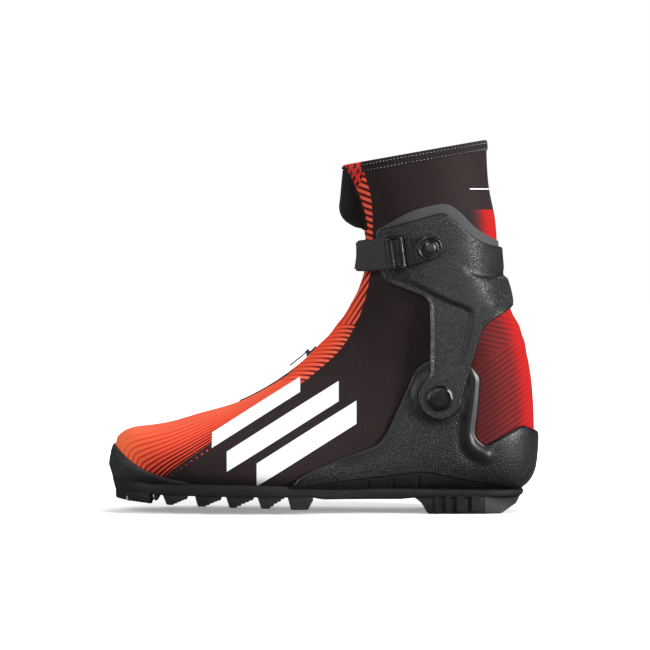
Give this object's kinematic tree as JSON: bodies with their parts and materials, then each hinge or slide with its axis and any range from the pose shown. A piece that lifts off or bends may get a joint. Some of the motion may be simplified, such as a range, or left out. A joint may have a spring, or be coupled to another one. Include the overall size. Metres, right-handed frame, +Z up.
{
  "type": "cross country boot",
  "caption": "Left cross country ski boot with a lugged sole, toe bar, moulded heel chassis, hinged ankle cuff, ring strap and zipped instep cover.",
  "frame": {"origin": "on the ground, below the middle of the heel tread", "axes": "+X from toe to heel, +Y towards the medial side, +Z up"},
  "size_m": [0.2932, 0.0971, 0.2523],
  "materials": {
    "board": "fibre board",
    "cap_plastic": "moulded, satin",
    "front_fabric": "printed coated fabric, orange to red stripes",
    "hard_plastic": "injection moulded with a pebbled grain",
    "lace": "round braided lace",
    "lining": "brushed knit over foam",
    "rand": "moulded, satin",
    "rear_fabric": "printed softshell, red diagonal stripes",
    "rivet_steel": "blackened",
    "side_fabric": "coated softshell, near black",
    "sole_rubber": "moulded, matt, fine grain",
    "steel": "ground bar",
    "webbing": "woven webbing",
    "zip": "coil zip"
  },
  "bodies": {
    "boot": {"outsole": "sole_rubber", "forefoot_tread": "sole_rubber", "heel_tread": "sole_rubber", "toe_rand": "rand", "toe_bar": "steel", "heel_chassis": "hard_plastic", "lasting_board": "board", "shank_plate": "hard_plastic", "footbed": "lining", "inner_liner": "lining", "toe_puff": "board", "heel_counter": "board", "front_panel": "front_fabric", "side_panel_lateral": "side_fabric", "side_panel_medial": "side_fabric", "heel_panel": "rear_fabric", "instep_gusset": "front_fabric", "achilles_gusset": "rear_fabric", "tongue": "lining", "lace": "lace", "lace_loops": "webbing", "pivot_bush_lateral": "cap_plastic", "pivot_bush_medial": "cap_plastic", "pivot_rivet_lateral": "rivet_steel", "pivot_rivet_medial": "rivet_steel", "pivot_cap_lateral": "cap_plastic", "pivot_cap_medial": "cap_plastic", "zipper_coil": "zip"},
    "cuff": {"cuff_shell": "hard_plastic", "cuff_pad": "lining", "shaft_front_panel": "front_fabric", "shaft_rear_panel": "rear_fabric", "collar": "side_fabric", "collar_hem": "side_fabric", "shaft_lining": "lining", "shaft_tongue": "lining", "front_flap": "side_fabric", "strap_rivet_lateral": "rivet_steel", "strap_rivet_medial": "rivet_steel"},
    "strap": {"strap_band": "webbing", "strap_anchor_lateral": "cap_plastic", "strap_anchor_medial": "cap_plastic", "strap_ring": "cap_plastic"},
    "strap_tail": {"strap_tail": "webbing"},
    "zipper_slider": {"zipper_slider": "rivet_steel"},
    "zipper_pull": {"zipper_pull": "cap_plastic"}
  },
  "joints": [
    {"name": "cuff_flex", "type": "hinge", "parent": "boot", "child": "cuff", "pos_m": [-0.018, 0, 0.0785], "axis": [0, -1, 0], "range_deg": [-8, 18], "deforming": ["instep_gusset", "achilles_gusset"]},
    {"name": "strap_tilt", "type": "hinge", "parent": "cuff", "child": "strap", "pos_m": [-0.0248, 0, 0.1794], "axis": [0, -1, 0], "range_deg": [-4, 4]},
    {"name": "strap_peel", "type": "hinge", "parent": "strap", "child": "strap_tail", "pos_m": [-0.04542, -0.04248, 0.17638], "axis": [0.1392, 0, 0.9903], "range_deg": [0, 90]},
    {"name": "zip_travel", "type": "hinge", "parent": "boot", "child": "zipper_slider", "pos_m": [-0.217, 0, 0.225], "axis": [0, 1, 0], "range_deg": [0, 20]},
    {"name": "zip_pull_swing", "type": "hinge", "parent": "zipper_slider", "child": "zipper_pull", "pos_m": [-0.1074, 0.005, 0.10829], "axis": [0, 1, 0], "range_deg": [0, 140]}
  ]
}
